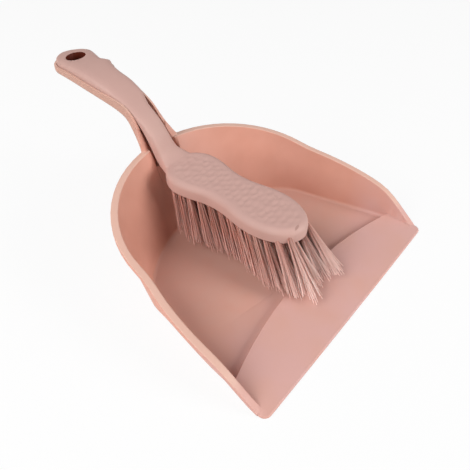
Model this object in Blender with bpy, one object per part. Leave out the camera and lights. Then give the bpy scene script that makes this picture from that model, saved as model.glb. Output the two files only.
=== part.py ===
"""A hand dustpan with its brush nested in the handle channel.

Metres, +Z up. The lip faces -Y and the handle points to +Y. The origin is the middle of the flat
underside. In the functions below, y runs back from the front edge of the lip.
"""
import math

import bmesh
import bpy
import numpy as np

# Lip, floor and ramp of the pan
LIP_WIDTH = 0.221
LIP_CORNER = 0.005
LIP_BOW = 0.0005
LIP_EDGE = 0.0012
LIP_LAND = 0.0064
WALL = 0.002
FLOOR_FILLET = 0.0025
FLOOR_LENGTH = 0.1599
FLOOR_WIDTH = 0.180
FLOOR_SHOULDER = 0.1019
FLOOR_FRONT_WIDTH = 0.2112
FLOOR_WAIST = 0.0060
FLOOR_POWER = 1.85
RAMP_LENGTH = 0.0464
RIDGE_HEIGHT = 0.0062
RIDGE_BOW = 0.0165
RIDGE_EDGE = 0.0010
HOLLOW_FROM_LIP = 0.0100
HOLLOW_SIDE = 0.007

# Rim of the pan
RIM_LENGTH = 0.1939
RIM_SHOULDER = 0.1089
RIM_SHOULDER_WIDTH = 0.1998
RIM_FRONT_WIDTH = 0.2218
RIM_BELLY = 0.0036
RIM_WAIST = 0.0127
RIM_POWER = 2.0
RIM_BACK_HEIGHT = 0.0634
RIM_SLOPE = 0.2365
CHEEK_START = 0.0057
CHEEK_SLOPE = 0.84
CHEEK_EASE = 0.0055
FLANGE = 0.0052
FLANGE_SKIRT = 0.0012
RIM_EDGE = 0.0008
ROUND_SHARE = 0.4
LEAST_SHARE = 0.1

# Handle channel of the pan
ROOT_SETBACK = 0.0025
ROOT_SLOPE = 1.60
FOOT_SLOPE = 0.50
GRIP_SLOPE = 0.165
GRIP_ARCH = 0.0024
KNEE_RUN = 0.0185
KNEE_RISE = 0.0308
KNEE_EASE = 0.008
KNEE_ROLL = 0.16
KNEE_ROLL_RUN = 0.0350
HANDLE_LENGTH = 0.1105
CHANNEL_DEPTH = 0.0060
CHANNEL_CORNER = 0.0035
CHANNEL_RIM = 0.0017
CHANNEL_FLOOR = 0.0022
CHANNEL_LEAD = 0.0040
CHANNEL_END = 0.0012
SIDE_GAP = 0.0004
ROOT_GAP = 0.0010
ROOT_GAP_RUN = 0.0100
ROOT_FLARE = 0.0105
ROOT_FLARE_RUN = 0.0055
ROOT_ROOM = 0.40
HANDLE_NOSE = 0.0130
TIP_DROP = 0.0012
TIP_DROP_RUN = 0.0300

# Brush handle
SEAT_GAP = 0.0003
END_GAP = 0.0003
GRIP_HALF_WIDTH = 0.0145
GRIP_FULL_FROM_END = 0.0380
GRIP_RISE = 0.0042
KNEE_REACH = 0.0107
KNEE_CROWN = 0.0030
KNEE_CROWN_SLOPE = 0.52
NECK_HALF_WIDTH = 0.0106
NECK_FOOT = 0.0150
NECK_SINK = 0.0008
NECK_KICK = 0.0084
NECK_RELIEF = 0.0042
NECK_RELIEF_RUN = 0.0110
NECK_FRONT = 0.0045
NECK_FRONT_SLOPE = 2.4
NECK_BACK = 0.0110
NECK_BACK_SLOPE = 1.9
FOOT_SPREAD = 0.0090
CROWN_SIDE = 0.72
CROWN_POWER = 3.0
TROUGH_POWER = 2.6
NOSE_ROUND = 0.14
FINGER_WAVES = ((0.0545, -0.0014, 0.0085), (0.0376, 0.0032, 0.0046), (0.0302, -0.0010, 0.0040),
                (0.0125, 0.0034, 0.0105))
HANG_HOLE_FROM_END = 0.0165
HANG_HOLE_ACROSS = 0.0175
HANG_HOLE_ALONG = 0.0130

# Brush block
BLOCK_LENGTH = 0.125
BLOCK_THICKNESS = 0.0112
BLOCK_TILT = 0.05
BLOCK_TO_WALL = 0.0045
BLOCK_EDGE = 0.0045
BLOCK_LOW_EDGE = 0.0007
FRONT_LOBE_WIDTH = 0.0450
FRONT_LOBE_FROM_TIP = 0.0330
WAIST_WIDTH = 0.0360
WAIST_FROM_TIP = 0.0680
REAR_LOBE_WIDTH = 0.0470
REAR_LOBE_FROM_TIP = 0.1020

# Bristle tufts
TUFT_HOLE = 0.0042
TUFT_HOLE_DEPTH = 0.0070
TUFT_FIT = 0.0003
TUFT_PITCH = 0.0088
TUFT_END_MARGIN = 0.0070
TUFT_ROOT_SHOWS = 0.0008
OUTER_ROW = 0.76
INNER_ROW = 0.26
STRANDS_ROUND = 7
STRAND_ROOT = 0.00040
STRAND_TIP = 0.00026
STRAND_RING = 0.00108
TUFT_SPREAD = 2.8
BRISTLE_DROP = 0.0345
BRISTLE_FLARE = 1.50
LEAN_REAR = 0.016
LEAN_FRONT = 0.029
TIP_CLEARANCE = 0.0008

# Places that follow from the sizes above
BASE_CENTRE = 0.5 * (RAMP_LENGTH + FLOOR_LENGTH)
RIM_INNER_BACK = RIM_LENGTH - FLANGE
HANDLE_ROOT = RIM_INNER_BACK - ROOT_SETBACK
KNEE = HANDLE_ROOT + KNEE_RUN
HANDLE_END = HANDLE_ROOT + HANDLE_LENGTH
BRUSH_END = HANDLE_END - CHANNEL_END - END_GAP
GRIP_START = KNEE + KNEE_REACH
HANG_HOLE = BRUSH_END - HANG_HOLE_FROM_END
BLOCK_LOW = RIDGE_HEIGHT + TIP_CLEARANCE + BRISTLE_DROP
WALL_LEAN = (RIM_INNER_BACK - FLOOR_LENGTH) / RIM_BACK_HEIGHT
BLOCK_REAR = FLOOR_LENGTH + WALL_LEAN * BLOCK_LOW - BLOCK_TO_WALL
BLOCK_TIP = BLOCK_REAR - BLOCK_LENGTH

# Facets of the curved forms
SIDE_STEPS = 14
BACK_STEPS = 16
LIP_STEPS = 14
CORNER_STEPS = 4
ROUND_STEPS = 5
NECK_STEPS = 8
HANDLE_STEP = 0.0025
SPAN_STEPS = 9
HOLE_SIDES = 24
TUFT_SIDES = 8

# How curves are drawn: pull of the tangents on a swing, on a round end and on a waist
SWING_PULL = 0.36
ROUND_PULL = 0.5523
WAIST_PULL = 0.42

PINK = (0.60, 0.25, 0.19)
MAUVE = (0.52, 0.27, 0.23)
BRISTLE = (0.50, 0.20, 0.15)


def smooth_min(first, second, ease):
    """The lower of two values, with the corner between them rounded off."""
    return 0.5 * (first + second - math.sqrt((first - second) ** 2 + ease ** 2))


def smooth_step(value, start, end):
    """0 before start, 1 after end and an even S between them."""
    t = min(max((value - start) / (end - start), 0.0), 1.0)
    return t * t * (3.0 - 2.0 * t)


def slope_of(height, y):
    """Slope of a height line at one place along the pan."""
    step = 0.0005
    return (height(y + step) - height(y - step)) / (2 * step)


def along_slope(height, y, thickness):
    """Vertical measure of a thickness that lies square to a sloping line."""
    return thickness * math.sqrt(1.0 + slope_of(height, y) ** 2)


# Pan outlines and heights

def rim_height(y):
    """Rim of the pan: a steep cheek behind the lip, then a long even rise to the back."""
    cheek = WALL + CHEEK_SLOPE * (y - CHEEK_START)
    back = RIM_BACK_HEIGHT - RIM_SLOPE * (RIM_INNER_BACK - y)
    return smooth_min(cheek, back, CHEEK_EASE)


def cubic(points, t):
    """One point of a cubic curve given by its ends and the two tangent points between them."""
    s = 1.0 - t
    weights = (s ** 3, 3 * s * s * t, 3 * s * t * t, t ** 3)
    return sum(weight * np.array(point) for weight, point in zip(weights, points))


def round_back(x, half_width, shoulder, length, power):
    """How far back the rounded end of an outline lies at one place across it."""
    share = max(1.0 - abs(x / half_width) ** power, 0.0)
    return shoulder + (length - shoulder) * share ** (1.0 / power)


def pan_outline(front, belly, waist, half_width, shoulder, length, power):
    """Outline from the right front round the back to the left front: flared sides and a rounded back."""
    third = (shoulder - LIP_LAND) / 3.0
    leave = (front + belly, LIP_LAND + third)
    arrive = (half_width + waist, shoulder - third)
    side = ((front, LIP_LAND), leave, arrive, (half_width, shoulder))
    half = [cubic(side, i / SIDE_STEPS) for i in range(SIDE_STEPS)]
    for i in range(BACK_STEPS + 1):
        x = half_width * math.cos(0.5 * math.pi * i / BACK_STEPS) ** (2.0 / power)
        half.append(np.array((x, round_back(x, half_width, shoulder, length, power))))
    line = half + [np.array((-x, y)) for x, y in reversed(half[:-1])]
    eased = [0.25 * a + 0.5 * b + 0.25 * c for a, b, c in zip(line, line[1:], line[2:])]
    return [line[0]] + eased + [line[-1]]


def floor_outline():
    half = 0.5 * FLOOR_WIDTH
    front = 0.5 * FLOOR_FRONT_WIDTH
    return pan_outline(front, 0.0, FLOOR_WAIST, half, FLOOR_SHOULDER, FLOOR_LENGTH, FLOOR_POWER)


def rim_outline():
    half = 0.5 * RIM_SHOULDER_WIDTH
    front = 0.5 * RIM_FRONT_WIDTH
    return pan_outline(front, RIM_BELLY, RIM_WAIST, half, RIM_SHOULDER, RIM_LENGTH, RIM_POWER)


def floor_half_width(y):
    """Half the width of the floor at one place behind the lip."""
    side = floor_outline()[:SIDE_STEPS + 1]
    return float(np.interp(y, [point[1] for point in side], [point[0] for point in side]))


def back_wall(x, y):
    """Height of the middle of the back wall's thickness above one place in plan."""
    foot = round_back(x, 0.5 * FLOOR_WIDTH, FLOOR_SHOULDER, FLOOR_LENGTH, FLOOR_POWER)
    top = round_back(x, 0.5 * RIM_SHOULDER_WIDTH, RIM_SHOULDER, RIM_LENGTH, RIM_POWER) - FLANGE
    return WALL + (RIM_BACK_HEIGHT - WALL) * (y - 0.5 * WALL - foot) / (top - foot)


def outward(outline):
    """Unit normals of an open outline that runs anticlockwise seen from above."""
    normals = []
    for i in range(len(outline)):
        run = outline[min(i + 1, len(outline) - 1)] - outline[max(i - 1, 0)]
        normals.append(np.array((run[1], -run[0])) / np.linalg.norm(run))
    return normals


# Mesh helpers

def mesh_object(name, bm, collection, place):
    """An object from a bmesh, with its faces turned outwards."""
    bmesh.ops.recalc_face_normals(bm, faces=bm.faces)
    mesh = bpy.data.meshes.new(name)
    bm.to_mesh(mesh)
    bm.free()
    made = bpy.data.objects.new(name, mesh)
    made.location = place
    collection.objects.link(made)
    return made


def bridge(bm, first, second, closed):
    """Faces between two rings of vertices."""
    count = len(first) if closed else len(first) - 1
    for i in range(count):
        j = (i + 1) % len(first)
        bm.faces.new((first[i], first[j], second[j], second[i]))


def loft(name, rings, collection, place):
    """A closed solid through rings with equal counts of points, capped at both ends."""
    bm = bmesh.new()
    loops = [[bm.verts.new(point) for point in ring] for ring in rings]
    for first, second in zip(loops, loops[1:]):
        bridge(bm, first, second, True)
    bm.faces.new(loops[0])
    bm.faces.new(loops[-1])
    return mesh_object(name, bm, collection, place)


def combine(target, tool, operation):
    """Cuts a tool away from a part, or joins it on, and keeps the result as the part's own mesh."""
    step = target.modifiers.new(operation.lower(), "BOOLEAN")
    step.operation = operation
    step.solver = "EXACT"
    step.object = tool
    bpy.context.view_layer.update()
    evaluated = target.evaluated_get(bpy.context.evaluated_depsgraph_get())
    mesh = bpy.data.meshes.new_from_object(evaluated)
    target.modifiers.remove(step)
    target.data = mesh


def finish(part, material):
    """Cleans up the cut edges, shades the round faces smooth and gives the part its material."""
    bm = bmesh.new()
    bm.from_mesh(part.data)
    bmesh.ops.remove_doubles(bm, verts=bm.verts, dist=1e-6)
    bmesh.ops.dissolve_degenerate(bm, edges=bm.edges, dist=1e-6)
    bm.to_mesh(part.data)
    bm.free()
    part.data.materials.clear()
    part.data.materials.append(material)
    part.data.shade_smooth()
    part.data.set_sharp_from_angle(angle=math.radians(38))


def moulded(name, colour, roughness):
    """A plain moulded plastic."""
    material = bpy.data.materials.new(name)
    material.use_nodes = True
    shader = material.node_tree.nodes["Principled BSDF"]
    shader.inputs["Base Color"].default_value = (*colour, 1.0)
    shader.inputs["Roughness"].default_value = roughness
    shader.inputs["Metallic"].default_value = 0.0
    return material


# Dustpan

def corner(before, point, after):
    """Three points that round off a corner."""
    return [before, 0.25 * (before + 2 * point + after), after]


def wall_section(foot_place, rim_place, normal):
    """Section from the floor up the wall, over the rim flange and its skirt and back under the floor."""
    out = np.array((normal[0], normal[1], 0.0))
    up = np.array((0.0, 0.0, 1.0))
    height = max(rim_height(rim_place[1]), WALL + LEAST_SHARE * RIM_EDGE)
    share = min(max((height - WALL) / (2.0 * FLOOR_FILLET), LEAST_SHARE), 1.0)
    foot = np.array((foot_place[0], foot_place[1], WALL))
    outer = np.array((rim_place[0], rim_place[1], height))
    inner = outer - FLANGE * out
    slant = inner - foot
    steep = np.linalg.norm(slant)
    fillet = min(FLOOR_FILLET / steep, ROUND_SHARE) * slant
    edge = min(RIM_EDGE / steep, ROUND_SHARE) * slant
    lip = RIM_EDGE * share
    inset = foot - FLOOR_FILLET * out
    under = max(height - WALL, 2.0 * LEAST_SHARE * WALL)
    skirt = under - min(FLANGE_SKIRT * share, ROUND_SHARE * under)
    heel = foot + WALL * out - WALL * up
    rise = min((FLOOR_FILLET + WALL) / steep, ROUND_SHARE) * slant
    ring = corner(inset, foot, foot + fillet)
    ring += corner(inner - edge, inner, inner + lip * out)
    ring += corner(outer - lip * out, outer, outer - lip * up)
    for place, z in ((outer, skirt), (outer - WALL * out, skirt), (outer - WALL * out, under),
                     (inner + WALL * out, under)):
        ring.append(np.array((place[0], place[1], z)))
    return ring + corner(heel + rise, heel, inset - WALL * up)


def make_tray(collection, place):
    """Floor, walls and rim of the pan as one shell, open at the lip."""
    rim = rim_outline()
    sections = [wall_section(f, r, n) for f, r, n in zip(floor_outline(), rim, outward(rim))]
    bm = bmesh.new()
    loops = [[bm.verts.new(point) for point in section] for section in sections]
    for first, second in zip(loops, loops[1:]):
        bridge(bm, first, second, False)
    bm.faces.new([loop[0] for loop in loops])
    bm.faces.new([loop[-1] for loop in loops])
    bm.faces.new((loops[0][0], loops[-1][0], loops[-1][-1], loops[0][-1]))
    bm.faces.new(loops[0])
    bm.faces.new(loops[-1])
    return mesh_object("dustpan", bm, collection, place)


def lip_line():
    """The front edge from left to right, with its two rounded corners."""
    half = 0.5 * LIP_WIDTH
    flat = half - LIP_CORNER
    right = [(flat * i / LIP_STEPS, 0.0) for i in range(1, LIP_STEPS)]
    for i in range(CORNER_STEPS + 1):
        turn = 0.5 * math.pi * i / CORNER_STEPS
        right.append((flat + LIP_CORNER * math.sin(turn), LIP_CORNER * (1.0 - math.cos(turn))))
    right = [(x, y - LIP_BOW * (1.0 - (x / half) ** 2)) for x, y in right]
    return [(-x, y) for x, y in reversed(right)] + [(0.0, -LIP_BOW)] + right


def ridge_point(x_lip):
    """The place on the ridge that faces one place on the lip."""
    ridge_end = RAMP_LENGTH - RIDGE_BOW
    half = floor_half_width(ridge_end) + 0.3 * WALL
    across = x_lip / (0.5 * LIP_WIDTH)
    return np.array((across * half, RAMP_LENGTH - RIDGE_BOW * across * across))


def ramp_top(share):
    """Height of the ramp at a share of the way from the lip to the ridge."""
    return WALL + (RIDGE_HEIGHT - WALL) * share


def ramp_ring(lip, section):
    """Places a section, given as lengths from the lip and heights, on the line from lip to ridge."""
    start = np.array(lip)
    run = ridge_point(lip[0]) - start
    length = np.linalg.norm(run)
    ring = []
    for distance, z in section(length):
        ring.append((*(start + run * distance / length), z))
    return ring


def ramp_section(length):
    """Rounded lip, sloping top and stepped ridge, with the foot sunk into the floor."""
    land = LIP_LAND + LIP_EDGE
    return [(0.4 * LIP_EDGE, 0.0), (0.0, 0.4 * LIP_EDGE), (0.0, WALL - LIP_EDGE),
            (0.3 * LIP_EDGE, WALL - 0.3 * LIP_EDGE), (LIP_EDGE, WALL),
            (length - RIDGE_EDGE, RIDGE_HEIGHT), (length - 0.3 * RIDGE_EDGE, RIDGE_HEIGHT - 0.3 * RIDGE_EDGE),
            (length, RIDGE_HEIGHT - RIDGE_EDGE), (length, 0.5 * WALL), (land + WALL, 0.5 * WALL), (land, 0.0)]


def hollow_section(length):
    """Space under the ramp that leaves its top one wall thick."""
    back = length - WALL
    return [(HOLLOW_FROM_LIP, -WALL), (HOLLOW_FROM_LIP, ramp_top(HOLLOW_FROM_LIP / length) - WALL),
            (back, ramp_top(back / length) - WALL), (back, -WALL)]


def handle_rim(y):
    """Rim line of the handle: up steeply from the back wall, over a knee, then along the arched grip."""
    root = RIM_BACK_HEIGHT + ROOT_SLOPE * (y - HANDLE_ROOT)
    along = min(max((y - KNEE) / (HANDLE_END - KNEE), 0.0), 1.0)
    arch = 4.0 * GRIP_ARCH * along * (1.0 - along)
    grip = RIM_BACK_HEIGHT + KNEE_RISE + GRIP_SLOPE * (y - KNEE) + arch
    return smooth_min(root, grip, KNEE_EASE)


def wall_top(x, y):
    """Top of the channel's side walls: the rim line, rolled right over the knee and lower at the tip."""
    knee = smooth_step(y, HANDLE_ROOT, KNEE) - smooth_step(y, KNEE, KNEE + KNEE_ROLL_RUN)
    tip = smooth_step(y, HANDLE_END - TIP_DROP_RUN, HANDLE_END)
    return handle_rim(y) - KNEE_ROLL * knee * x - TIP_DROP * tip


def channel_floor(y):
    """Bottom of the channel that the brush handle lies in."""
    return handle_rim(y) - along_slope(handle_rim, y, CHANNEL_DEPTH)


def handle_bottom(y):
    """Underside of the pan handle, which flattens where it runs into the back wall."""
    foot = FOOT_SLOPE * max(HANDLE_ROOT - y, 0.0)
    return handle_rim(y) - along_slope(handle_rim, y, CHANNEL_DEPTH + CHANNEL_FLOOR) + foot


def finger_edge(y):
    """How far the right edge of both handles stands out past its plain width, to fit the fingers."""
    stands_out = 0.0
    for from_end, out, half_length in FINGER_WAVES:
        reach = (y - (BRUSH_END - from_end)) / half_length
        stands_out += out * math.exp(-reach * reach)
    return stands_out


def brush_half_width(y):
    """Half the width of the brush handle on its plain left side."""
    growth = smooth_step(y, HANDLE_ROOT, BRUSH_END - GRIP_FULL_FROM_END)
    return NECK_HALF_WIDTH + (GRIP_HALF_WIDTH - NECK_HALF_WIDTH) * growth


def channel_half_width(y):
    """The channel follows the brush closely along the grip and stands wider at its root."""
    root = ROOT_GAP * math.exp(-max(y - HANDLE_ROOT, 0.0) / ROOT_GAP_RUN)
    return brush_half_width(y) + SIDE_GAP + root


def nose(y, end):
    """Share of the full width left towards a rounded handle end."""
    reach = max(y - (end - HANDLE_NOSE), 0.0) / HANDLE_NOSE
    return math.sqrt(max(1.0 - reach * reach, 0.0))


def stations(start, end):
    """Places along a handle, on steps that both handles share, and closer together round its end."""
    straight = end - HANDLE_NOSE
    steps = range(math.ceil(start / HANDLE_STEP + 0.1), math.ceil(straight / HANDLE_STEP - 0.1))
    places = [start] + [i * HANDLE_STEP for i in steps]
    bends = 2 * CORNER_STEPS
    for i in range(bends):
        turn = 0.5 * math.pi * (i + 0.15) / bends
        places.append(straight + HANDLE_NOSE * math.sin(turn))
    return places


def quarter(power):
    """A rounded quarter as pairs (out, up), from straight up to straight out."""
    turns = [0.5 * math.pi * i / ROUND_STEPS for i in range(ROUND_STEPS)]
    pairs = [(math.sin(turn) ** (2.0 / power), math.cos(turn) ** (2.0 / power)) for turn in turns]
    return pairs + [(1.0, 0.0)]


def trough(corner_height):
    """Right half of a rounded underside as pairs (share across, height), from its side to its middle."""
    return [(out, corner_height * (1.0 - up)) for out, up in reversed(quarter(TROUGH_POWER))]


def trough_ring(y, left, right, top, low):
    """Section of the pan handle or its channel: a level top over a trough with rounded lower corners."""
    ring = []
    for i in range(SPAN_STEPS + 1):
        x = -left + (left + right) * i / SPAN_STEPS
        ring.append((x, y, top(x)))
    half = trough(CHANNEL_CORNER)
    ring += [(across * right, y, low + height) for across, height in half]
    ring += [(-across * left, y, low + height) for across, height in reversed(half[:-1])]
    return ring


def root_flare(y):
    """How far the pan handle spreads each side where it grows out of the back wall."""
    return ROOT_FLARE * math.exp(-max(y - HANDLE_ROOT, 0.0) / ROOT_FLARE_RUN)


def handle_ring(y):
    """Outside of the pan handle, with its foot sunk into the back wall."""
    half = channel_half_width(y) + CHANNEL_RIM + root_flare(y)
    share = nose(y, HANDLE_END)
    left = half * share
    right = (half + finger_edge(y)) * share
    return trough_ring(y, left, right, lambda x: min(wall_top(x, y), back_wall(x, y)), handle_bottom(y))


def channel_ring(y):
    """Space for the brush handle, open above the rim."""
    share = nose(y, HANDLE_END - CHANNEL_END)
    half = channel_half_width(y)
    left = half * share
    right = (half + finger_edge(y) + ROOT_ROOM * root_flare(y)) * share
    return trough_ring(y, left, right, lambda x: handle_rim(y) + 2.0 * CHANNEL_DEPTH, channel_floor(y))


def handle_foot():
    """Where the underside of the handle runs into the middle of the back wall."""
    y = HANDLE_ROOT
    while back_wall(0.0, y) - handle_bottom(y) > 0.25 * WALL:
        y -= 0.1 * WALL
    return y


def make_dustpan(parts, cutters, place):
    pan = make_tray(parts, place)
    line = lip_line()
    ramp = loft("ramp", [ramp_ring(point, ramp_section) for point in line], cutters, place)
    narrow = (0.5 * FLOOR_FRONT_WIDTH - HOLLOW_SIDE) / (0.5 * LIP_WIDTH)
    inside = [(x * narrow, 0.0) for x, y in line]
    hollow = loft("ramp_hollow", [ramp_ring(point, hollow_section) for point in inside], cutters, place)
    handle = loft("pan_handle", [handle_ring(y) for y in stations(handle_foot(), HANDLE_END)], cutters, place)
    rings = [channel_ring(y) for y in stations(HANDLE_ROOT - CHANNEL_LEAD, HANDLE_END - CHANNEL_END)]
    channel = loft("handle_channel", rings, cutters, place)
    combine(pan, ramp, "UNION")
    combine(pan, hollow, "DIFFERENCE")
    combine(pan, handle, "UNION")
    combine(pan, channel, "DIFFERENCE")
    finish(pan, moulded("pink_polypropylene", PINK, 0.42))
    return pan


# Brush body

def block_low(y):
    """Underside of the block, which drops a little towards its tip."""
    return BLOCK_LOW + BLOCK_TILT * (y - BLOCK_TIP)


def block_half_width(y):
    """Half the width of the two-lobed block at one place along it."""
    outline = block_outline()
    right = [point for point in outline if point[0] >= 0.0]
    right.sort(key=lambda point: point[1])
    return float(np.interp(y, [point[1] for point in right], [point[0] for point in right]))


def block_outline():
    """Closed outline of the block: a round tip, front lobe, waist, rear lobe and round end."""
    front, waist, rear = 0.5 * FRONT_LOBE_WIDTH, 0.5 * WAIST_WIDTH, 0.5 * REAR_LOBE_WIDTH
    lobe = BLOCK_TIP + FRONT_LOBE_FROM_TIP
    narrow = BLOCK_TIP + WAIST_FROM_TIP
    back = BLOCK_TIP + REAR_LOBE_FROM_TIP
    tip_pull = ROUND_PULL * FRONT_LOBE_FROM_TIP
    end_pull = ROUND_PULL * (BLOCK_REAR - back)
    fore_pull = WAIST_PULL * (narrow - lobe)
    aft_pull = WAIST_PULL * (back - narrow)
    spans = (
        ((0.0, BLOCK_TIP), (ROUND_PULL * front, BLOCK_TIP), (front, lobe - tip_pull), (front, lobe)),
        ((front, lobe), (front, lobe + fore_pull), (waist, narrow - fore_pull), (waist, narrow)),
        ((waist, narrow), (waist, narrow + aft_pull), (rear, back - aft_pull), (rear, back)),
        ((rear, back), (rear, back + end_pull), (ROUND_PULL * rear, BLOCK_REAR), (0.0, BLOCK_REAR)),
    )
    half = [cubic(span, i / SPAN_STEPS) for span in spans for i in range(SPAN_STEPS)]
    half.append(np.array((0.0, BLOCK_REAR)))
    left = [np.array((-x, y)) for x, y in reversed(half[1:-1])]
    return half + left


def block_rings():
    """Outlines stacked from the underside up, drawn in over the rounded top edge."""
    outline = block_outline()
    count = len(outline)
    runs = [outline[(i + 1) % count] - outline[i - 1] for i in range(count)]
    normals = [np.array((run[1], -run[0])) / np.linalg.norm(run) for run in runs]
    steps = [(0.0, BLOCK_LOW_EDGE), (BLOCK_LOW_EDGE, 0.0)]
    for i in range(CORNER_STEPS + 1):
        turn = 0.5 * math.pi * i / CORNER_STEPS
        height = BLOCK_THICKNESS - BLOCK_EDGE * (1.0 - math.sin(turn))
        steps.append((height, BLOCK_EDGE * (1.0 - math.cos(turn))))
    rings = []
    for height, inset in steps:
        places = [point - inset * normal for point, normal in zip(outline, normals)]
        rings.append([(x, y, block_low(y) + height) for x, y in places])
    return rings


def seat(y):
    """Underside of the grip, a small gap above the channel floor."""
    return channel_floor(y) + along_slope(handle_rim, y, SEAT_GAP)


def handle_knots():
    """Places and directions of the top line and the underside of the brush handle, from the block back."""
    foot = BLOCK_REAR - NECK_FOOT
    low = block_low(BLOCK_REAR) + NECK_KICK
    level = (1.0, BLOCK_TILT)
    over = (((foot, block_low(foot) + BLOCK_THICKNESS - NECK_SINK), level),
            ((BLOCK_REAR + NECK_FRONT, low + BLOCK_THICKNESS), (1.0, NECK_FRONT_SLOPE)),
            ((GRIP_START, handle_rim(GRIP_START) + KNEE_CROWN), (1.0, KNEE_CROWN_SLOPE)),
            ((BRUSH_END, handle_rim(BRUSH_END) + GRIP_RISE), (1.0, 0.0)))
    under = (((foot, block_low(foot) + NECK_SINK), level),
             ((BLOCK_REAR + NECK_BACK, low), (1.0, NECK_BACK_SLOPE)),
             ((GRIP_START, seat(GRIP_START)), (1.0, GRIP_SLOPE)))
    return over, under


def swing(start, end):
    """A curve that leaves one knot and arrives at the next along their directions."""
    reach = SWING_PULL * math.dist(start[0], end[0])
    leave = np.array(start[0]) + reach * np.array(start[1]) / np.linalg.norm(start[1])
    arrive = np.array(end[0]) - reach * np.array(end[1]) / np.linalg.norm(end[1])
    return start[0], leave, arrive, end[0]


def brush_ring(low, top, left, right):
    """Section of the brush handle between two places: a crowned top over the trough's underside."""
    deep = np.linalg.norm(top - low)
    way = (top - low) / deep
    half = [(out, deep * (CROWN_SIDE + (1.0 - CROWN_SIDE) * up)) for out, up in quarter(CROWN_POWER)]
    half += trough(min(CHANNEL_CORNER, 0.5 * deep))
    ring = [(across * right, *(low + height * way)) for across, height in half]
    ring += [(-across * left, *(low + height * way)) for across, height in reversed(half[1:-1])]
    return ring


def neck_relief(y):
    """How far the right side of the neck is drawn in, which leaves room beside it in the channel."""
    leave = smooth_step(y, BLOCK_REAR, HANDLE_ROOT)
    return NECK_RELIEF * (leave - smooth_step(y, KNEE, KNEE + NECK_RELIEF_RUN))


def neck_rings():
    """Sections of the neck, square to its run: out of the block, up past the rim and over the knee."""
    over, under = handle_knots()
    rings = []
    for part in range(2):
        upper = swing(over[part], over[part + 1])
        lower = swing(under[part], under[part + 1])
        for i in range(NECK_STEPS):
            t = i / NECK_STEPS
            top = cubic(upper, t)
            low = cubic(lower, t)
            y = 0.5 * (top[0] + low[0])
            half = brush_half_width(y)
            if part == 0:
                half += FOOT_SPREAD * (1.0 - t) ** 2
            rings.append(brush_ring(low, top, half, half + finger_edge(y) - neck_relief(y)))
    return rings


def grip_rings():
    """Upright sections of the grip, which lies in the channel and ends in a rounded nose."""
    over = handle_knots()[0]
    crown = swing(over[2], over[3])
    line = [cubic(crown, i / (4 * SPAN_STEPS)) for i in range(4 * SPAN_STEPS + 1)]
    rings = []
    for y in stations(GRIP_START, BRUSH_END):
        share = nose(y, BRUSH_END)
        high = float(np.interp(y, [point[0] for point in line], [point[1] for point in line]))
        low = seat(y)
        ease = NOSE_ROUND * (1.0 - share) * (high - low)
        half = brush_half_width(y)
        ends = np.array((y, low + ease)), np.array((y, high - ease))
        right = half + finger_edge(y) - neck_relief(y)
        rings.append(brush_ring(*ends, half * share, right * share))
    return rings


def tuft_places():
    """Name and place of each tuft: four rows that follow the lobes, the inner two set half a pitch back."""
    places = []
    first = BLOCK_TIP + TUFT_END_MARGIN
    count = int((BLOCK_LENGTH - 2 * TUFT_END_MARGIN) / TUFT_PITCH) + 1
    rows = (("left_outer", -OUTER_ROW, 0.0), ("left_inner", -INNER_ROW, 0.5),
            ("right_inner", INNER_ROW, 0.5), ("right_outer", OUTER_ROW, 0.0))
    for row, across, shift in rows:
        for i in range(count):
            y = first + (i + shift) * TUFT_PITCH
            if y < BLOCK_REAR - TUFT_END_MARGIN:
                places.append((f"tuft_{row}_{i + 1:02d}", across * block_half_width(y), y))
    return places


def hole_cutter(collection, place):
    """All the tuft holes as one cutter of upright eight-sided pegs."""
    bm = bmesh.new()
    for name, x, y in tuft_places():
        made = bmesh.ops.create_cone(bm, cap_ends=True, segments=TUFT_SIDES, radius1=0.5 * TUFT_HOLE,
                                     radius2=0.5 * TUFT_HOLE, depth=2.0 * TUFT_HOLE_DEPTH)
        bmesh.ops.translate(bm, verts=made["verts"], vec=(x, y, block_low(y)))
    return mesh_object("tuft_holes", bm, collection, place)


def hang_hole_cutter(collection, place):
    """Upright oval through the brush handle near its end."""
    rings = []
    for z in (0.0, RIM_BACK_HEIGHT + 2.0 * HANDLE_LENGTH):
        ring = []
        for i in range(HOLE_SIDES):
            turn = 2.0 * math.pi * i / HOLE_SIDES
            x = 0.5 * HANG_HOLE_ACROSS * math.cos(turn)
            ring.append((x, HANG_HOLE + 0.5 * HANG_HOLE_ALONG * math.sin(turn), z))
        rings.append(ring)
    return loft("hang_hole", rings, collection, place)


def make_brush_body(parts, cutters, place):
    body = loft("brush_body", block_rings(), parts, place)
    grip = loft("brush_handle", neck_rings() + grip_rings(), cutters, place)
    combine(body, grip, "UNION")
    combine(body, hole_cutter(cutters, place), "DIFFERENCE")
    combine(body, hang_hole_cutter(cutters, place), "DIFFERENCE")
    finish(body, moulded("mauve_polypropylene", MAUVE, 0.5))
    return body


# Bristle tufts

def tip_place(x, y):
    """Where the middle of a tuft ends: flared sideways, and leaning further forward towards the tip."""
    share = (BLOCK_REAR - y) / BLOCK_LENGTH
    lean = LEAN_REAR + (LEAN_FRONT - LEAN_REAR) * share
    return np.array((BRISTLE_FLARE * x, y - lean, block_low(y) - BRISTLE_DROP))


def add_strand(bm, root, tip):
    """One three-sided strand that thins towards its tip."""
    loops = []
    for centre, radius in ((root, STRAND_ROOT), (tip, STRAND_TIP)):
        ring = []
        for i in range(3):
            turn = 2.0 * math.pi * i / 3
            aside = radius * np.array((math.cos(turn), math.sin(turn), 0.0))
            ring.append(bm.verts.new(centre + aside))
        loops.append(ring)
    bridge(bm, loops[0], loops[1], True)
    bm.faces.new(loops[0])
    bm.faces.new(loops[1])


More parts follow.
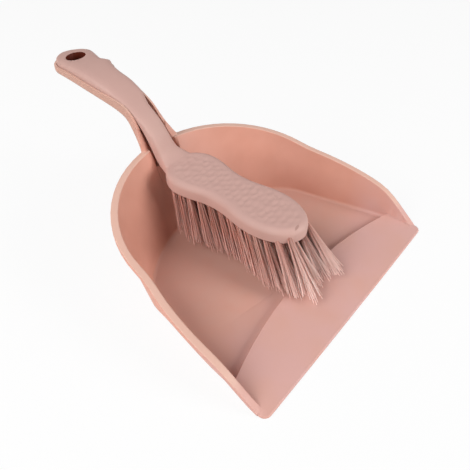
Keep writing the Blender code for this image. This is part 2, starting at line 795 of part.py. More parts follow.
def make_tuft(name, x, y, parts, cutters, place, material):
    """A bundle of strands fused to the folded root that sits in its hole."""
    low = block_low(y)
    bm = bmesh.new()
    deep = TUFT_HOLE_DEPTH - TUFT_FIT + TUFT_ROOT_SHOWS
    bmesh.ops.create_cone(bm, cap_ends=True, segments=TUFT_SIDES, radius1=0.5 * TUFT_HOLE - TUFT_FIT,
                          radius2=0.5 * TUFT_HOLE - TUFT_FIT, depth=deep)
    bmesh.ops.translate(bm, verts=bm.verts, vec=(x, y, low - TUFT_ROOT_SHOWS + 0.5 * deep))
    tuft = mesh_object(name, bm, parts, place)
    strands = bmesh.new()
    start = np.array((x, y, low))
    end = tip_place(x, y)
    add_strand(strands, start, end)
    for i in range(STRANDS_ROUND):
        turn = 2.0 * math.pi * i / STRANDS_ROUND
        aside = STRAND_RING * np.array((math.cos(turn), math.sin(turn), 0.0))
        add_strand(strands, start + aside, end + TUFT_SPREAD * aside)
    tool = mesh_object(name + "_strands", strands, cutters, place)
    combine(tuft, tool, "UNION")
    finish(tuft, material)
    bpy.data.objects.remove(tool)
    return tuft


def main():
    for old in list(bpy.data.objects):
        bpy.data.objects.remove(old)
    parts = bpy.data.collections.new("dustpan_and_brush")
    cutters = bpy.data.collections.new("cutters")
    for collection in (parts, cutters):
        bpy.context.scene.collection.children.link(collection)
    place = (0.0, -BASE_CENTRE, 0.0)
    make_dustpan(parts, cutters, place)
    lift = bpy.data.objects.new("brush_lift", None)
    lift.location = (0.0, KNEE - BASE_CENTRE, channel_floor(KNEE))
    parts.objects.link(lift)
    brush = [make_brush_body(parts, cutters, place)]
    bristle = moulded("bristle_filament", BRISTLE, 0.45)
    for name, x, y in tuft_places():
        brush.append(make_tuft(name, x, y, parts, cutters, place, bristle))
    for piece in brush:
        piece.location = np.array(place) - np.array(lift.location)
        piece.parent = lift
    for tool in cutters.objects:
        tool.hide_render = True
        tool.display_type = "WIRE"


main()
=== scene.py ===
# %% [markdown]
# # A dustpan and brush in moulded plastic
# The pan and the brush come from a CAD frame that already has their true shapes and places. This lesson
# gives them the looks of the real set: smooth moulded skins, a hammered top on the brush's block, and
# bundles of fine filament in place of the thick strands that the CAD model uses.

# %% Load the frame
import math

import bmesh
import bpy
import numpy as np
from mathutils import Matrix, Vector, kdtree


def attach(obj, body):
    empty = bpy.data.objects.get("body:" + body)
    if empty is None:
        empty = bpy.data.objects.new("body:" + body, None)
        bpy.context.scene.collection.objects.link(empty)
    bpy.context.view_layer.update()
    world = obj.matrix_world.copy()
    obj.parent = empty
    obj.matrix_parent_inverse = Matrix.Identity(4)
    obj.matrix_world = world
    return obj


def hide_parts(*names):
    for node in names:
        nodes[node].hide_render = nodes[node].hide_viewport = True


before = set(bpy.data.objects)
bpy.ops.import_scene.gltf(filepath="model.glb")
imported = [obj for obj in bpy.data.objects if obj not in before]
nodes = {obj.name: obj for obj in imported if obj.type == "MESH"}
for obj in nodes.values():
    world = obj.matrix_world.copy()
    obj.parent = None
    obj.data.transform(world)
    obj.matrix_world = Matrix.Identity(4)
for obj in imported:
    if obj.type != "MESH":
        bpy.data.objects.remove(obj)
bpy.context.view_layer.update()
scene = bpy.context.scene

# %% [markdown]
# ## Camera
# The photograph was taken from the front left, well above the pan, with a normal lens. The camera could
# be aimed by eye, but its place was worked out from the pan's own corners, so the numbers are written
# down here: how far round it stands, how high it looks down from, and where it is.

# %% Camera at the photograph's angle
CAMERA_AZIMUTH = -0.8985676
CAMERA_ELEVATION = 0.7391535
CAMERA_PLACE = (-0.242575, -0.184533, 0.291851)
FOCAL_PIXELS = 520.0
FRAME_PIXELS = 470.0

cos_a, sin_a = math.cos(CAMERA_AZIMUTH), math.sin(CAMERA_AZIMUTH)
cos_e, sin_e = math.cos(CAMERA_ELEVATION), math.sin(CAMERA_ELEVATION)
across = Vector((cos_a, sin_a, 0.0))
upward = Vector((-sin_a * sin_e, cos_a * sin_e, cos_e))
backward = Vector((sin_a * cos_e, -cos_a * cos_e, sin_e))
camera_data = bpy.data.cameras.new("photo_camera")
camera_data.sensor_width = 36.0
camera_data.lens = camera_data.sensor_width * FOCAL_PIXELS / FRAME_PIXELS
camera_data.clip_start = 0.01
camera = bpy.data.objects.new("photo_camera", camera_data)
turn = Matrix((across, upward, backward)).transposed().to_4x4()
camera.matrix_world = Matrix.Translation(CAMERA_PLACE) @ turn
scene.collection.objects.link(camera)
scene.camera = camera
print("camera lens", round(camera_data.lens, 2), "mm")

# %% [markdown]
# ## Colours and nodes
# Colours are picked as they look on a screen, so they are written as hex values and turned into the
# linear values that shaders mix. One small function adds any shader node with its settings and its
# links, which keeps each material below short enough to read as a recipe.

# %% Colour and node helpers


def linear(code):
    """The linear colour of an sRGB hex value."""
    parts = [int(code[i:i + 2], 16) / 255.0 for i in (1, 3, 5)]
    values = [c / 12.92 if c <= 0.04045 else ((c + 0.055) / 1.055) ** 2.4 for c in parts]
    return (*values, 1.0)


def add(tree, kind, inputs=None, **settings):
    """Adds a node, sets its properties, and sets or links its inputs."""
    node = tree.nodes.new(kind)
    for key, value in settings.items():
        setattr(node, key, value)
    for key, value in (inputs or {}).items():
        if isinstance(value, bpy.types.NodeSocket):
            tree.links.new(value, node.inputs[key])
        else:
            node.inputs[key].default_value = value
    return node


def seen_directly(tree):
    """1 for rays that see a surface or the world straight, by mirror or through glass; 0 for its light."""
    path = add(tree, "ShaderNodeLightPath").outputs
    seen = add(tree, "ShaderNodeMath", {0: path["Is Camera Ray"], 1: path["Is Glossy Ray"]},
               operation="MAXIMUM")
    return add(tree, "ShaderNodeMath", {0: seen.outputs[0], 1: path["Is Transmission Ray"]},
               operation="MAXIMUM").outputs[0]


def new_material(name):
    """An empty material with its output node."""
    material = bpy.data.materials.new(name)
    material.use_nodes = True
    material.node_tree.nodes.clear()
    return material, material.node_tree


print("dusty pink is", [round(c, 3) for c in linear("#d9a090")[:3]])

# %% [markdown]
# ## The pan's plastic
# The pan is polypropylene, injection moulded and dusty pink, with a satin skin. Such a skin is never one
# flat colour: the melt leaves faint clouds as wide as a thumb, the tool leaves a fine grain, and use
# leaves soft rub marks. Clouds and rubs are noise at those real sizes. The grain of the tool is about
# 0.3 mm, too fine to show here, so it is drawn at about 1 mm. Fine dust dulls the faces that look up, so
# those are mixed towards a greyer pink, in patches, by how far the surface turns from upright.
#
# Wear follows use. The rim rubs along walls and in the cupboard, so its flat top is paler. The lip is
# scraped over the floor and is greyer, in patches. The steep sides of the handle are painted duller and
# browner; that is painted shade, for the lesser light that falls on them. Each place is found by its
# height, by how far forward or back it lies, and by how upright it is.

# %% Pink polypropylene
CLOUD_SIZE = 0.040
RUB_SIZE = 0.012
GRAIN_SIZE = 0.0010


def moulded_plastic(name, pale, deep, dusty, rough_low, rough_high):
    """Satin moulded plastic with clouds, rub marks, grain and dust, and its nodes for further marks."""
    material, tree = new_material(name)
    coordinates = add(tree, "ShaderNodeTexCoord").outputs
    place = coordinates["Object"]
    cloud = add(tree, "ShaderNodeTexNoise", {"Vector": place, "Scale": 1.0 / CLOUD_SIZE, "Detail": 3.0})
    colour = add(tree, "ShaderNodeValToRGB", {"Fac": cloud.outputs["Fac"]})
    colour.color_ramp.elements[0].position = 0.30
    colour.color_ramp.elements[0].color = linear(deep)
    colour.color_ramp.elements[1].position = 0.70
    colour.color_ramp.elements[1].color = linear(pale)
    rub = add(tree, "ShaderNodeTexNoise", {"Vector": place, "Scale": 1.0 / RUB_SIZE, "Detail": 5.0})
    rough = add(tree, "ShaderNodeMapRange", {"Value": rub.outputs["Fac"], "From Min": 0.3, "From Max": 0.7,
                                             "To Min": rough_low, "To Max": rough_high})
    upright = add(tree, "ShaderNodeSeparateXYZ", {0: coordinates["Normal"]}).outputs["Z"]
    film = add(tree, "ShaderNodeMapRange", {"Value": upright, "From Min": 0.70, "From Max": 0.97})
    patchy = add(tree, "ShaderNodeMapRange", {"Value": rub.outputs["Fac"], "From Min": 0.3, "From Max": 0.6,
                                              "To Min": 0.75})
    dust = add(tree, "ShaderNodeMath", {0: film.outputs[0], 1: patchy.outputs[0]}, operation="MULTIPLY")
    colour = add(tree, "ShaderNodeMix", {0: dust.outputs[0], 6: colour.outputs["Color"], 7: linear(dusty)},
                 data_type="RGBA")
    grain = add(tree, "ShaderNodeTexNoise", {"Vector": place, "Scale": 1.0 / GRAIN_SIZE, "Detail": 2.0})
    bump = add(tree, "ShaderNodeBump", {"Height": grain.outputs["Fac"], "Strength": 0.06,
                                        "Distance": 0.0004})
    skin = add(tree, "ShaderNodeBsdfPrincipled", {"Base Color": colour.outputs[2], "IOR": 1.49,
                                                  "Specular IOR Level": 0.3,
                                                  "Roughness": rough.outputs["Result"],
                                                  "Normal": bump.outputs["Normal"]})
    add(tree, "ShaderNodeOutputMaterial", {"Surface": skin.outputs["BSDF"]})
    return material, {"place": place, "upright": upright, "colour": colour, "bump": bump, "skin": skin}


pan_plastic, pan_nodes = moulded_plastic("moulded_pink_plastic", "#dca18e", "#d39682", "#d4a495", 0.42, 0.54)
print("made", pan_plastic.name, "with", sorted(pan_nodes))

# %% Where the pan is worn, and where its handle is painted with shade
RIM_LOW = 0.012
LIP_START = -0.035
HANDLE_START = 0.085
PATCH_SIZE = 0.030
tree = pan_plastic.node_tree
axes = add(tree, "ShaderNodeSeparateXYZ", {0: pan_nodes["place"]}).outputs
raised = add(tree, "ShaderNodeMapRange", {"Value": axes["Z"], "From Min": RIM_LOW,
                                          "From Max": RIM_LOW + 0.006})
level = add(tree, "ShaderNodeMapRange", {"Value": pan_nodes["upright"], "From Min": 0.45, "From Max": 0.80})
rim = add(tree, "ShaderNodeMath", {0: raised.outputs[0], 1: level.outputs[0]}, operation="MULTIPLY")
front = add(tree, "ShaderNodeMapRange", {"Value": axes["Y"], "From Min": LIP_START,
                                         "From Max": LIP_START - 0.030})
patch = add(tree, "ShaderNodeTexNoise", {"Vector": pan_nodes["place"], "Scale": 1.0 / PATCH_SIZE,
                                         "Detail": 2.0})
patch = add(tree, "ShaderNodeMapRange", {"Value": patch.outputs["Fac"], "From Min": 0.35, "From Max": 0.62,
                                         "To Min": 0.4})
lip = add(tree, "ShaderNodeMath", {0: front.outputs[0], 1: patch.outputs[0]}, operation="MULTIPLY")
# The steep sides of the handle are painted duller and browner: painted shade.
handle = add(tree, "ShaderNodeMapRange", {"Value": axes["Y"], "From Min": HANDLE_START,
                                          "From Max": HANDLE_START + 0.020, "To Max": 0.8})
steep = add(tree, "ShaderNodeMapRange", {"Value": pan_nodes["upright"], "From Min": 0.7, "From Max": 0.4})
painted_handle_shade = add(tree, "ShaderNodeMath", {0: handle.outputs[0], 1: steep.outputs[0]}, operation="MULTIPLY")
colour = pan_nodes["colour"].outputs[2]
for share, code in ((lip.outputs[0], "#d6a8a0"), (rim.outputs[0], "#dfb4a3"), (painted_handle_shade.outputs[0], "#bf9787")):
    colour = add(tree, "ShaderNodeMix", {0: share, 6: colour, 7: linear(code)}, data_type="RGBA").outputs[2]
tree.links.new(colour, pan_nodes["skin"].inputs["Base Color"])
print("worn places: rim above", RIM_LOW, "lip before", LIP_START, "handle behind", HANDLE_START, "metres")

# %% [markdown]
# ## The brush's plastic
# The brush is the same plastic in a greyer pink. The front end of its block has the short scar where the
# plastic entered the mould, sunk with a bump and painted darker: painted shade in its groove. The grip is
# painted duller towards its end, as painted shade, and the wall of the hang hole is painted dark brown as
# painted shade, for the little light that reaches it. Each mark is placed by where it lies on the brush.

# %% Mauve polypropylene
brush_plastic, brush_nodes = moulded_plastic("moulded_mauve_plastic", "#caa59b", "#c49d93", "#c9a299",
                                             0.52, 0.66)
tree = brush_plastic.node_tree
axes = add(tree, "ShaderNodeSeparateXYZ", {0: brush_nodes["place"]}).outputs
print("made", brush_plastic.name)

# %% Gate scar, grip and hang hole, with their painted shade
BLOCK_TOP = 0.060
SCAR_PLACE = (-0.0043, -0.0498, 0.0)
SCAR_TURN = 0.17
SCAR_HALF = (0.0034, 0.0010)
GRIP_START = 0.110
HOLE_PLACE = (0.0, 0.1755, 0.0)
HOLE_HALF = (0.00885, 0.0066)
scar = add(tree, "ShaderNodeMapping", {"Vector": brush_nodes["place"], "Location": SCAR_PLACE,
                                       "Rotation": (0.0, 0.0, SCAR_TURN), "Scale": (*SCAR_HALF, 1e9)},
           vector_type="TEXTURE")
scar = add(tree, "ShaderNodeVectorMath", {0: scar.outputs["Vector"]}, operation="LENGTH")
scar = add(tree, "ShaderNodeMapRange", {"Value": scar.outputs["Value"], "From Min": 0.6, "From Max": 1.0,
                                        "To Min": 1.0, "To Max": 0.0})
low = add(tree, "ShaderNodeMath", {0: axes["Z"], 1: BLOCK_TOP}, operation="LESS_THAN")
scar = add(tree, "ShaderNodeMath", {0: scar.outputs[0], 1: low.outputs[0]}, operation="MULTIPLY")
hole = add(tree, "ShaderNodeMapping", {"Vector": brush_nodes["place"], "Location": HOLE_PLACE,
                                       "Scale": (*HOLE_HALF, 1e9)}, vector_type="TEXTURE")
hole = add(tree, "ShaderNodeVectorMath", {0: hole.outputs["Vector"]}, operation="LENGTH")
hole = add(tree, "ShaderNodeMath", {0: hole.outputs["Value"], 1: 1.0}, operation="LESS_THAN")
# The grip is painted duller towards its end: painted shade.
painted_handle_shade = add(tree, "ShaderNodeMapRange", {"Value": axes["Y"], "From Min": GRIP_START,
                                        "From Max": GRIP_START + 0.07, "To Max": 0.6})
grip = add(tree, "ShaderNodeMix", {0: painted_handle_shade.outputs[0], 6: brush_nodes["colour"].outputs[2],
                                   7: linear("#b9948a")}, data_type="RGBA")
# The wall of the hang hole is painted dark brown: painted shade.
painted_hole_shade = add(tree, "ShaderNodeMix", {0: hole.outputs[0], 6: grip.outputs[2], 7: linear("#571c0a")},
           data_type="RGBA")
# The scar is painted darker: painted shade in its groove. The bump below sinks it.
shade = add(tree, "ShaderNodeMath", {0: scar.outputs[0], 1: 0.5}, operation="MULTIPLY")
marked = add(tree, "ShaderNodeMix", {0: shade.outputs[0], 6: painted_hole_shade.outputs[2], 7: linear("#8f6a5f")},
             data_type="RGBA")
sunk = add(tree, "ShaderNodeBump", {"Height": scar.outputs[0], "Strength": 1.0, "Distance": 0.0003,
                                    "Normal": brush_nodes["bump"].outputs["Normal"]}, invert=True)
tree.links.new(marked.outputs[2], brush_nodes["skin"].inputs["Base Color"])
tree.links.new(sunk.outputs["Normal"], brush_nodes["skin"].inputs["Normal"])
print("the brush's plastic has", len(tree.nodes), "nodes")

# %% [markdown]
# ## Smooth skins
# A CAD node arrives as loose flat triangles, which is right for measuring and wrong for looking at. A
# copy whose corners are merged can be shaded smooth, with its true edges kept sharp. Weighted normals
# then keep flat faces flat beside a rounded edge. The copy takes the node's place, and keeps the CAD's
# own shape.
#
# The top of the brush's block has a hammered look: shallow dents, a little longer than they are wide,
# which hide finger marks. A bump in the material could show them, but it would leave the mesh flat. So
# the top is cut into small triangles and shaped into shallow bowls with low ridges between them, less
# and less towards its rounded edge. From valley to ridge they measure about 0.6 mm. That was set by how
# they look, and may be deeper than real.

# %% Hammered top of the block
DENT_SIZE = (0.0080, 0.0048)
DENT_SKEW = 3.0
DENT_DEPTH = 0.0007
DENT_BOWL = 0.5
DENT_MIDDLE = 0.4
DENT_JITTER = 0.22
DENT_REACH = 16
DENT_SEED = 5
FLAT_NORMAL = 0.995
CUT_LENGTH = 0.0016
CUT_ROUNDS = 7
EDGE_FADE = 0.004


def block_top(bm):
    """The faces of the flat top of the block."""
    flat = [face for face in bm.faces if face.normal.z > FLAT_NORMAL]
    return [face for face in flat if face.calc_center_median().z < BLOCK_TOP]


def hammer(bm):
    """Cuts the top of the block into small triangles and presses dents into it."""
    for _ in range(CUT_ROUNDS):
        top = set(block_top(bm))
        touching = [edge for edge in bm.edges if any(face in top for face in edge.link_faces)]
        long_edges = [edge for edge in touching if edge.calc_length() > CUT_LENGTH]
        bmesh.ops.subdivide_edges(bm, edges=long_edges, cuts=1, use_single_edge=True)
        bm.normal_update()
        bmesh.ops.triangulate(bm, faces=[face for face in block_top(bm) if len(face.verts) > 3])
        bm.normal_update()
        top = set(block_top(bm))
        inner = [edge for edge in bm.edges if all(face in top for face in edge.link_faces)]
        bmesh.ops.beautify_fill(bm, faces=block_top(bm), edges=inner)
        bm.normal_update()
    top = set(block_top(bm))
    corners = [corner for corner in bm.verts if any(face in top for face in corner.link_faces)]
    border = [corner for corner in corners if any(face not in top for face in corner.link_faces)]
    nearest = kdtree.KDTree(len(border))
    for number, corner in enumerate(border):
        nearest.insert(corner.co, number)
    nearest.balance()
    chance = np.random.default_rng(DENT_SEED)
    steps = range(-DENT_REACH, DENT_REACH + 1)
    dents = kdtree.KDTree(len(steps) ** 2)
    for number, (column, row) in enumerate((column, row) for row in steps for column in steps):
        shift = chance.uniform(-DENT_JITTER, DENT_JITTER, 2)
        dents.insert((column + 0.5 * (row % 2) + shift[0], row + shift[1], 0.0), number)
    dents.balance()
    turn = Matrix.Rotation(math.radians(-DENT_SKEW), 3, "Z")
    for corner in set(corners).difference(border):
        across_block, along_block, _ = turn @ corner.co
        away = dents.find((across_block / DENT_SIZE[0], along_block / DENT_SIZE[1], 0.0))[2]
        fade = min(1.0, nearest.find(corner.co)[2] / EDGE_FADE)
        height = 1.0 - math.exp(-((away / DENT_BOWL) ** 2))
        corner.co.z += DENT_DEPTH * fade * (height - DENT_MIDDLE)
    print("hammered top has", len(top), "faces and", len(border), "corners on its border")


# %% Pan and brush skins
SHARP_ANGLE = 32.0
MERGE_DISTANCE = 1e-6


def smooth_skin(node_name, name, body, material, shape=None):
    """A merged and smooth-shaded copy of a CAD node that takes its place, shaped further if asked."""
    mesh = nodes[node_name].data.copy()
    mesh.name = name
    bm = bmesh.new()
    bm.from_mesh(mesh)
    bmesh.ops.remove_doubles(bm, verts=bm.verts, dist=MERGE_DISTANCE)
    bm.normal_update()
    if shape:
        shape(bm)
    bm.to_mesh(mesh)
    bm.free()
    mesh.materials.clear()
    mesh.materials.append(material)
    mesh.shade_smooth()
    mesh.set_sharp_from_angle(angle=math.radians(SHARP_ANGLE))
    piece = bpy.data.objects.new(name, mesh)
    scene.collection.objects.link(piece)
    weighted = piece.modifiers.new("weighted", "WEIGHTED_NORMAL")
    weighted.keep_sharp = True
    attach(piece, body)
    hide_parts(node_name)
    print(name, "has", len(mesh.polygons), "faces")


smooth_skin("dustpan", "pan_skin", "dustpan", pan_plastic)
smooth_skin("brush_body", "brush_skin", "brush", brush_plastic, hammer)

# %% [markdown]
# ## Bristle filament
# The filament is drawn polypropylene, crimped a little and cut to length, so its ends scatter light and
# look paler. Each filament keeps its own slight tint. Both come from attributes that the bristles carry:
# how far along the filament a point lies, and one random number for each filament. A third attribute,
# `fan`, is larger for the front tufts: they are painted paler, as painted light, and the bristle tree
# below spreads them wider.

# %% Filament material
filament, tree = new_material("crimped_filament")
tint = add(tree, "ShaderNodeAttribute", attribute_name="tint").outputs["Fac"]
along = add(tree, "ShaderNodeAttribute", attribute_name="along").outputs["Fac"]
shade = add(tree, "ShaderNodeValToRGB", {"Fac": tint})
shade.color_ramp.elements[0].color = linear("#a96e60")
shade.color_ramp.elements[1].color = linear("#d9a497")
fade = add(tree, "ShaderNodeMapRange", {"Value": along, "From Min": 0.55, "From Max": 1.0, "To Min": 0.0,
                                        "To Max": 0.35})
pale = add(tree, "ShaderNodeMix", {0: fade.outputs["Result"], 6: shade.outputs["Color"],
                                   7: linear("#efd2ca")}, data_type="RGBA")
fan = add(tree, "ShaderNodeAttribute", attribute_name="fan").outputs["Fac"]
# The front tufts are painted paler: painted light.
front_painted_light = add(tree, "ShaderNodeMapRange", {"Value": fan, "From Min": 1.0, "From Max": 1.5, "To Max": 0.7})
wear_and_painted_light = add(tree, "ShaderNodeMix", {0: front_painted_light.outputs["Result"], 6: pale.outputs[2], 7: linear("#ffddd4")},
           data_type="RGBA")
skin = add(tree, "ShaderNodeBsdfPrincipled", {"Base Color": wear_and_painted_light.outputs[2], "Roughness": 0.5, "IOR": 1.49,
                                              "Specular IOR Level": 0.1, "Subsurface Weight": 0.6,
                                              "Subsurface Radius": (1.0, 0.8, 0.75),
                                              "Subsurface Scale": 0.0006})
add(tree, "ShaderNodeOutputMaterial", {"Surface": skin.outputs["BSDF"]})
print("made", filament.name)

# %% [markdown]
# ## Bristles
# Each tuft is a bundle of filament pushed into a hole, so it starts tight and spreads towards its tips.
# The CAD tufts say where each bundle starts and ends. A Geometry Nodes tree copies each of those lines
# into many, pushes every copy aside by its own random place in the bundle, trims it to its own length
# and gives it a thin tapered tube. Placing the filaments by hand or as particles would be slower to
# change than these named sizes. The real filament is about 0.35 mm thick. It is drawn at 0.56 mm, so
# that it shows and fewer are needed to fill a tuft.

# %% Bristle tree
LINE_POINTS = 7
FILAMENT_SIDES = 4
TIP_TAPER = 0.7
tree = bpy.data.node_groups.new("tuft_of_filament", "GeometryNodeTree")
sockets = {}
for label, kind, start in (("Geometry", "NodeSocketGeometry", None), ("Filaments", "NodeSocketInt", 60),
                           ("Root Radius", "NodeSocketFloat", 0.0018),
                           ("Tip Radius", "NodeSocketFloat", 0.0052),
                           ("Filament Radius", "NodeSocketFloat", 0.00028),
                           ("Uneven", "NodeSocketFloat", 0.14), ("Wander", "NodeSocketFloat", 0.0012),
                           ("Seed", "NodeSocketInt", 1), ("Material", "NodeSocketMaterial", None)):
    socket = tree.interface.new_socket(label, in_out="INPUT", socket_type=kind)
    sockets[label] = socket.identifier
    if start is not None:
        socket.default_value = start
tree.interface.new_socket("Geometry", in_out="OUTPUT", socket_type="NodeSocketGeometry")
given = add(tree, "NodeGroupInput").outputs
line = add(tree, "GeometryNodeMeshToCurve", {"Mesh": given["Geometry"]})
points = add(tree, "GeometryNodeResampleCurve", {"Curve": line.outputs["Curve"], "Count": LINE_POINTS})
copies = add(tree, "GeometryNodeDuplicateElements", {"Geometry": points.outputs["Curve"],
                                                     "Amount": given["Filaments"]}, domain="SPLINE")
index = add(tree, "GeometryNodeInputIndex").outputs["Index"]
own = add(tree, "GeometryNodeFieldOnDomain", {"Value": index}, domain="CURVE",
          data_type="INT").outputs["Value"]
angle = add(tree, "FunctionNodeRandomValue", {"ID": own, "Seed": given["Seed"]})
angle.inputs[3].default_value = 2.0 * math.pi
reach_seed = add(tree, "ShaderNodeMath", {0: given["Seed"], 1: 11.0}, operation="ADD")
reach = add(tree, "FunctionNodeRandomValue", {"ID": own, "Seed": reach_seed.outputs[0]})
spread = add(tree, "ShaderNodeMath", {0: reach.outputs[1], 1: 0.5}, operation="POWER")
cosine = add(tree, "ShaderNodeMath", {0: angle.outputs[1]}, operation="COSINE")
sine = add(tree, "ShaderNodeMath", {0: angle.outputs[1]}, operation="SINE")
aside = add(tree, "ShaderNodeCombineXYZ", {0: cosine.outputs[0], 1: sine.outputs[0]})
along = add(tree, "GeometryNodeSplineParameter").outputs["Factor"]
fan = add(tree, "GeometryNodeInputNamedAttribute", {"Name": "fan"}).outputs["Attribute"]
reach_out = add(tree, "ShaderNodeMath", {0: given["Tip Radius"], 1: fan}, operation="MULTIPLY")
width = add(tree, "ShaderNodeMapRange", {"Value": along, "To Min": given["Root Radius"],
                                         "To Max": reach_out.outputs[0]})
radius = add(tree, "ShaderNodeMath", {0: width.outputs[0], 1: spread.outputs[0]}, operation="MULTIPLY")
push = add(tree, "ShaderNodeVectorMath", {0: aside.outputs[0], "Scale": radius.outputs[0]},
           operation="SCALE")
bend_seed = add(tree, "ShaderNodeMath", {0: given["Seed"], 1: 23.0}, operation="ADD")
bend = add(tree, "FunctionNodeRandomValue", {"ID": own, "Seed": bend_seed.outputs[0]},
           data_type="FLOAT_VECTOR")
bend.inputs[0].default_value = (-1.0, -1.0, 0.0)
bend.inputs[1].default_value = (1.0, 1.0, 0.0)
square = add(tree, "ShaderNodeMath", {0: along, 1: 2.0}, operation="POWER")
sway = add(tree, "ShaderNodeMath", {0: square.outputs[0], 1: given["Wander"]}, operation="MULTIPLY")
drift = add(tree, "ShaderNodeVectorMath", {0: bend.outputs[0], "Scale": sway.outputs[0]}, operation="SCALE")
moved = add(tree, "ShaderNodeVectorMath", {0: push.outputs[0], 1: drift.outputs[0]}, operation="ADD")
placed = add(tree, "GeometryNodeSetPosition", {"Geometry": copies.outputs["Geometry"],
                                               "Offset": moved.outputs[0]})
cut_seed = add(tree, "ShaderNodeMath", {0: given["Seed"], 1: 37.0}, operation="ADD")
cut = add(tree, "FunctionNodeRandomValue", {"ID": own, "Seed": cut_seed.outputs[0]})
short = add(tree, "ShaderNodeMath", {0: cut.outputs[1], 1: given["Uneven"]}, operation="MULTIPLY")
keep = add(tree, "ShaderNodeMath", {0: 1.0, 1: short.outputs[0]}, operation="SUBTRACT")
trimmed = add(tree, "GeometryNodeTrimCurve", {"Curve": placed.outputs["Geometry"], "End": keep.outputs[0]})
tint_seed = add(tree, "ShaderNodeMath", {0: given["Seed"], 1: 51.0}, operation="ADD")
tint = add(tree, "FunctionNodeRandomValue", {"ID": own, "Seed": tint_seed.outputs[0]})
with_tint = add(tree, "GeometryNodeStoreNamedAttribute", {"Geometry": trimmed.outputs["Curve"],
                                                          "Name": "tint", "Value": tint.outputs[1]},
                domain="POINT")
with_along = add(tree, "GeometryNodeStoreNamedAttribute", {"Geometry": with_tint.outputs["Geometry"],
                                                           "Name": "along", "Value": along}, domain="POINT")
taper = add(tree, "ShaderNodeMapRange", {"Value": along, "To Min": 1.0, "To Max": TIP_TAPER})
sized = add(tree, "GeometryNodeSetCurveRadius", {"Curve": with_along.outputs["Geometry"],
                                                 "Radius": taper.outputs[0]})
ring = add(tree, "GeometryNodeCurvePrimitiveCircle", {"Resolution": FILAMENT_SIDES,
                                                      "Radius": given["Filament Radius"]})
tube = add(tree, "GeometryNodeCurveToMesh", {"Curve": sized.outputs["Curve"],
                                             "Profile Curve": ring.outputs["Curve"], "Fill Caps": True})
real = add(tree, "GeometryNodeRealizeInstances", {"Geometry": tube.outputs["Mesh"]})
dressed = add(tree, "GeometryNodeSetMaterial", {"Geometry": real.outputs["Geometry"],
                                                "Material": given["Material"]})
add(tree, "NodeGroupOutput", {0: dressed.outputs["Geometry"]})
print("bristle tree has", len(tree.nodes), "nodes")

# %% Grow the bristles, one piece for each row
FAN_MORE = 0.7
FAN_RUN = 0.025
ROOT_BAND = 1e-4
TIP_BAND = 5e-4


def tuft_line(node_name):
    """Start and end of a CAD tuft: the middle of its root's top and of its strands' tips."""
    points = np.array([vertex.co for vertex in nodes[node_name].data.vertices])
    high = points[:, 2].max()
    low = points[:, 2].min()
    root = points[points[:, 2] > high - ROOT_BAND].mean(axis=0)
    tip = points[points[:, 2] < low + TIP_BAND].mean(axis=0)
    return root, tip


for number, row in enumerate(("left_outer", "left_inner", "right_inner", "right_outer")):
    names = sorted(name for name in nodes if name.startswith("tuft_" + row))
    ends = [end for name in names for end in tuft_line(name)]
    mesh = bpy.data.meshes.new("bristles_" + row)
    mesh.from_pydata([tuple(end) for end in ends], [(2 * i, 2 * i + 1) for i in range(len(names))], [])
    front = min(end[1] for end in ends)
    fans = [1.0 + FAN_MORE * max(0.0, 1.0 - (end[1] - front) / FAN_RUN) for end in ends]
    mesh.attributes.new("fan", "FLOAT", "POINT").data.foreach_set("value", fans)
    piece = bpy.data.objects.new("bristles_" + row, mesh)
    scene.collection.objects.link(piece)
    grow = piece.modifiers.new("grow", "NODES")
    grow.node_group = tree
    grow[sockets["Seed"]] = 100 * number + 7
    grow[sockets["Material"]] = filament
    bpy.context.view_layer.update()
    evaluated = piece.evaluated_get(bpy.context.evaluated_depsgraph_get())
    grown = bpy.data.meshes.new_from_object(evaluated)
    piece.modifiers.remove(grow)
    piece.data = grown
    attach(piece, "brush")
    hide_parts(*names)
    print(piece.name, "has", len(grown.polygons), "faces,", [slot.name for slot in grown.materials])

# %% [markdown]
# ## Floor, backdrop and light
# The set was photographed on white under soft studio light. The floor is plain white and glows a little
# for the camera, so that it reads as white paper and still takes the soft shadow of the pan. The shades
# inside the pan say where the light came from: a large softbox on the left and a little behind, which
# leaves the inside of the left wall dark, and a smaller one low at the front right, which lights the
# back wall. A weak one behind stands for the light that the room gave back.

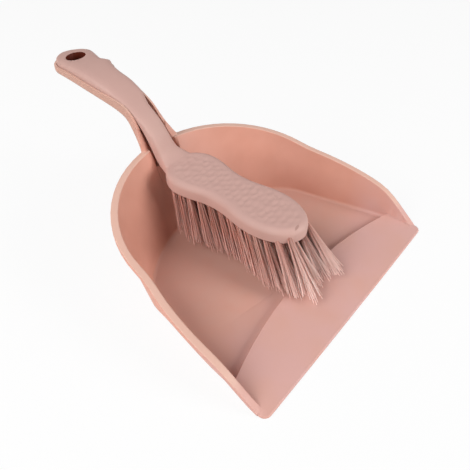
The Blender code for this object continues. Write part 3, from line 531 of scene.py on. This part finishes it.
# %% Floor
FLOOR_GLOW = 0.9
FLOOR_HALF = 3.0
FLOOR_HEIGHT = -0.0004
WHITE = (1.0, 1.0, 1.0, 1.0)
floor_signs = ((-1, -1), (1, -1), (1, 1), (-1, 1))
floor_corners = [(FLOOR_HALF * x, FLOOR_HALF * y, FLOOR_HEIGHT) for x, y in floor_signs]
floor_mesh = bpy.data.meshes.new("floor")
floor_mesh.from_pydata(floor_corners, [], [(0, 1, 2, 3)])
floor = bpy.data.objects.new("floor", floor_mesh)
scene.collection.objects.link(floor)
paper, tree = new_material("white_paper")
share = add(tree, "ShaderNodeMath", {0: seen_directly(tree), 1: FLOOR_GLOW}, operation="MULTIPLY")
matt = add(tree, "ShaderNodeBsdfDiffuse", {"Color": linear("#f2f2f2")})
glow = add(tree, "ShaderNodeEmission", {"Color": WHITE, "Strength": 1.0})
both = add(tree, "ShaderNodeMixShader", {0: share.outputs[0], 1: matt.outputs[0], 2: glow.outputs[0]})
add(tree, "ShaderNodeOutputMaterial", {"Surface": both.outputs[0]})
floor_mesh.materials.append(paper)

# %% World and lamps
WORLD_FILL = 0.03
LAMP_AIM = (0.0, 0.0, 0.03)
world = bpy.data.worlds.new("studio")
scene.world = world
world.use_nodes = True
tree = world.node_tree
tree.nodes.clear()
fill = add(tree, "ShaderNodeBackground", {"Color": WHITE, "Strength": WORLD_FILL})
white = add(tree, "ShaderNodeBackground", {"Color": WHITE, "Strength": 1.0})
both = add(tree, "ShaderNodeMixShader", {0: seen_directly(tree), 1: fill.outputs[0], 2: white.outputs[0]})
add(tree, "ShaderNodeOutputWorld", {"Surface": both.outputs[0]})


def lamp(name, place, size, power):
    """A square area lamp that faces the set."""
    data = bpy.data.lights.new(name, "AREA")
    data.size = size
    data.energy = power
    made = bpy.data.objects.new(name, data)
    made.location = place
    made.rotation_euler = (Vector(LAMP_AIM) - Vector(place)).to_track_quat("-Z", "Y").to_euler()
    scene.collection.objects.link(made)


lamp("left_softbox", (-1.12, 0.22, 0.97), 1.2, 22.8)
lamp("front_softbox", (0.51, -1.27, 0.61), 0.7, 16.6)
lamp("back_softbox", (0.48, 0.84, 1.15), 0.6, 1.5)
scene.view_settings.view_transform = "Standard"
print("lamps", [light.name for light in bpy.data.lights])
